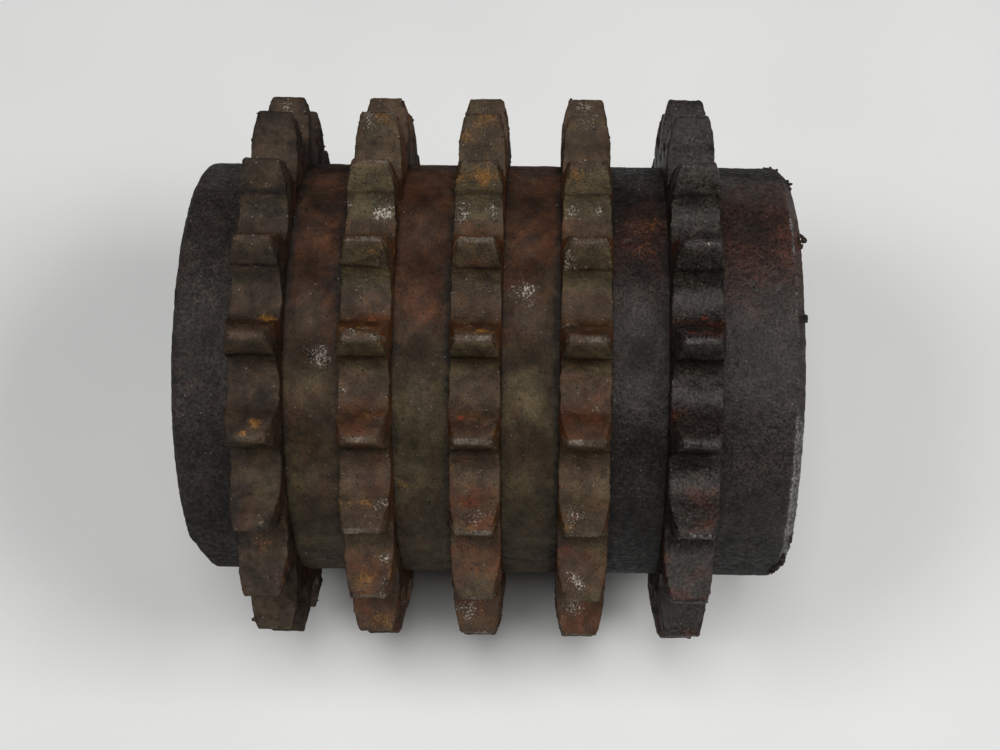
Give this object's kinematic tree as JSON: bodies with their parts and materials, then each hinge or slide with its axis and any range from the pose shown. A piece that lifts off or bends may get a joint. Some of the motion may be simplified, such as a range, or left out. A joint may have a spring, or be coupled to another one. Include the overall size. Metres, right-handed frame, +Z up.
{
  "type": "multi-strand chain sprocket",
  "caption": "Multi-strand roller-chain sprocket drum: keyed toothed rings and spacers clamped on a bored sleeve by a slotted ring nut, with set screws for the shaft.",
  "frame": {"origin": "on the drum's axis at the middle of the third toothed row, inside the shaft bore", "axes": "+Y along the drum's axis towards the collar that holds the set screws; +Z up, through a tooth of every row; +X completes a right-handed frame"},
  "size_m": [0.1252, 0.1324, 0.1249],
  "materials": {
    "rusted_steel": "weathered brown steel with an oily film and patches of rust",
    "oiled_steel": "near-black oiled steel, grainy, worn bright on tooth tips",
    "machined_steel": "machined steel, dulled",
    "blackened_steel": "black oxide, oiled"
  },
  "bodies": {
    "drum": {"core_sleeve": "machined_steel", "end_collar_left": "rusted_steel", "end_collar_right": "oiled_steel", "ring_key_upper": "machined_steel", "ring_key_lower": "machined_steel", "toothed_ring_1": "rusted_steel", "toothed_ring_2": "rusted_steel", "toothed_ring_3": "rusted_steel", "toothed_ring_4": "rusted_steel", "toothed_ring_5": "oiled_steel", "spacer_ring_1": "rusted_steel", "spacer_ring_2": "rusted_steel", "spacer_ring_3": "rusted_steel", "spacer_ring_4": "oiled_steel"},
    "clamp_washer": {"keyed_washer": "rusted_steel"},
    "clamp_nut": {"ring_nut": "blackened_steel"},
    "lock_screw_top": {"nut_lock_screw_1": "blackened_steel"},
    "lock_screw_bottom": {"nut_lock_screw_2": "blackened_steel"},
    "key_screw": {"set_screw_over_key": "blackened_steel"},
    "side_screw": {"set_screw_at_side": "blackened_steel"}
  },
  "joints": [
    {"name": "washer_slide", "type": "slide", "parent": "drum", "child": "clamp_washer", "axis": [0, -1, 0], "range_m": [0, 0.0041]},
    {"name": "nut_turn", "type": "hinge", "parent": "clamp_washer", "child": "clamp_nut", "pos_m": [0, -0.05886, 0], "axis": [0, -1, 0], "range_deg": [0, 720]},
    {"name": "lock_screw_top_travel", "type": "slide", "parent": "clamp_nut", "child": "lock_screw_top", "axis": [0, -1, 0], "range_m": [0, 0.004]},
    {"name": "lock_screw_bottom_travel", "type": "slide", "parent": "clamp_nut", "child": "lock_screw_bottom", "axis": [0, -1, 0], "range_m": [0, 0.004]},
    {"name": "key_screw_travel", "type": "slide", "parent": "drum", "child": "key_screw", "axis": [0, 0, -1], "range_m": [0, 0.012]},
    {"name": "side_screw_travel", "type": "slide", "parent": "drum", "child": "side_screw", "axis": [-1, 0, 0], "range_m": [0, 0.012]}
  ],
  "couplings": [
    {"joint": "washer_slide", "follows": "nut_turn", "m_per_rad": 0.00031831}
  ]
}
